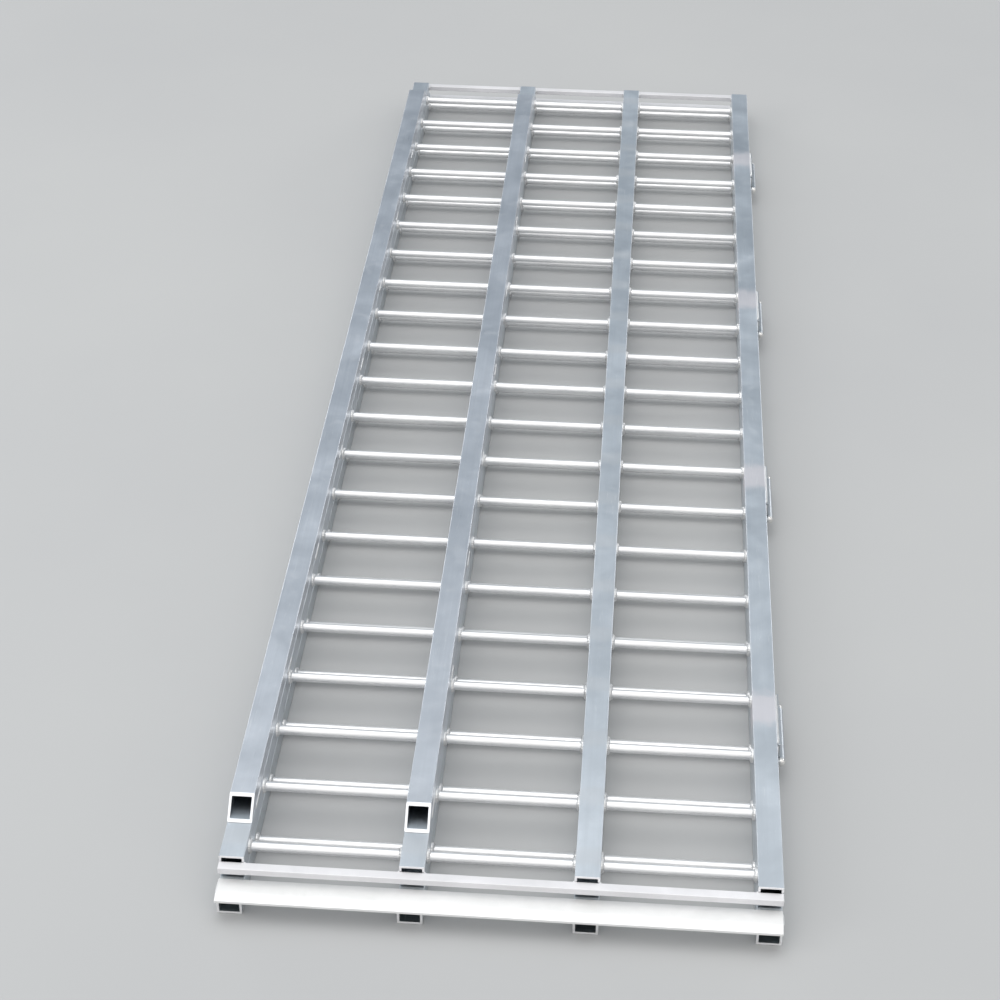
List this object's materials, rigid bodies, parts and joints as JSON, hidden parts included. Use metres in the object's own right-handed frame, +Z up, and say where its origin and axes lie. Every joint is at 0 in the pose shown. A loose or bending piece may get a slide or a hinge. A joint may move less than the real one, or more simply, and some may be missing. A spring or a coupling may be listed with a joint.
{
  "type": "folding loading ramp",
  "caption": "Bi-fold aluminium loading ramp: two ladder-rung panels hinged along one long edge, shown folded flat.",
  "frame": {"origin": "middle of the folded ramp's footprint, on the underside of the lower rails", "axes": "+X across the ramp towards the hinges, +Y along the ramp away from the lip plate, +Z up"},
  "size_m": [0.5688, 1.8382, 0.0716],
  "materials": {
    "rail": "mill-finish extruded square tube, faint lengthwise grain",
    "ladder": "mill-finish tube and bright drawn rungs, welded",
    "plate": "bright rolled plate and bar",
    "hinge": "satin extruded hinge knuckle",
    "steel": "zinc-plated fasteners"
  },
  "bodies": {
    "lower_panel": {"lower_left_rail": "rail", "lower_right_rail": "rail", "lower_ladder": "ladder", "lip_plate": "plate", "lower_far_bar": "plate", "hinge_1_lower_leaf": "hinge", "hinge_1_pin": "steel", "hinge_1_near_washer": "steel", "hinge_1_far_washer": "steel", "hinge_1_pin_cap": "steel", "hinge_2_lower_leaf": "hinge", "hinge_2_pin": "steel", "hinge_2_near_washer": "steel", "hinge_2_far_washer": "steel", "hinge_2_pin_cap": "steel", "hinge_3_lower_leaf": "hinge", "hinge_3_pin": "steel", "hinge_3_near_washer": "steel", "hinge_3_far_washer": "steel", "hinge_3_pin_cap": "steel", "hinge_4_lower_leaf": "hinge", "hinge_4_pin": "steel", "hinge_4_near_washer": "steel", "hinge_4_far_washer": "steel", "hinge_4_pin_cap": "steel"},
    "upper_panel": {"upper_left_rail": "rail", "upper_right_rail": "rail", "upper_inner_left_rail": "rail", "upper_inner_right_rail": "rail", "upper_rung_01": "ladder", "upper_rung_02": "ladder", "upper_rung_03": "ladder", "upper_rung_04": "ladder", "upper_rung_05": "ladder", "upper_rung_06": "ladder", "upper_rung_07": "ladder", "upper_rung_08": "ladder", "upper_rung_09": "ladder", "upper_rung_10": "ladder", "upper_rung_11": "ladder", "upper_rung_12": "ladder", "upper_rung_13": "ladder", "upper_rung_14": "ladder", "upper_rung_15": "ladder", "upper_rung_16": "ladder", "upper_rung_17": "ladder", "upper_rung_18": "ladder", "upper_rung_19": "ladder", "upper_rung_20": "ladder", "upper_rung_21": "ladder", "upper_near_bar": "plate", "upper_far_bar": "plate", "doubler_left": "rail", "doubler_inner": "rail", "hinge_1_upper_leaf": "hinge", "hinge_2_upper_leaf": "hinge", "hinge_3_upper_leaf": "hinge", "hinge_4_upper_leaf": "hinge"}
  },
  "joints": [
    {"name": "panel_fold", "type": "hinge", "parent": "lower_panel", "child": "upper_panel", "pos_m": [0.27955, 0.00475, 0.02615], "axis": [0, 1, 0], "range_deg": [0, 180]}
  ]
}
